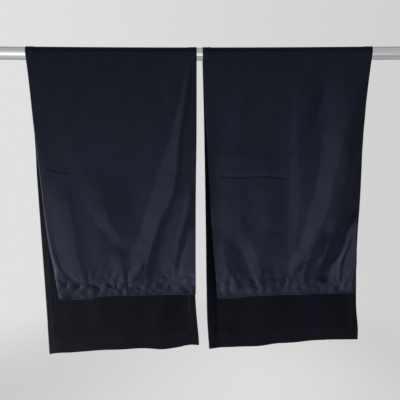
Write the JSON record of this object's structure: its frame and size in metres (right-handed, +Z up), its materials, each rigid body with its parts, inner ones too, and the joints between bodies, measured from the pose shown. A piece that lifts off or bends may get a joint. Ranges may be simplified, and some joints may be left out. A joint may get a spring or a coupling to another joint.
{
  "type": "blackout curtains draped over a rail",
  "caption": "Dark blackout curtains hung doubled over a round metal rail, gathered heading in front and plain hem lower behind.",
  "frame": {"origin": "middle of the rail's left end face, seen from the side where the gathered headings hang", "axes": "+X along the rail to its right end, +Y from the front flaps to the back flaps, +Z up"},
  "size_m": [1.3, 0.0594, 1.0348],
  "materials": {
    "polished_steel": "polished round tube with fine lengthways brushing",
    "blackout_cloth": "close woven navy cloth with a satin face and a dull near-black reverse"
  },
  "bodies": {
    "root": {"rail": "polished_steel", "curtain_left": "blackout_cloth", "curtain_right": "blackout_cloth"}
  },
  "joints": []
}
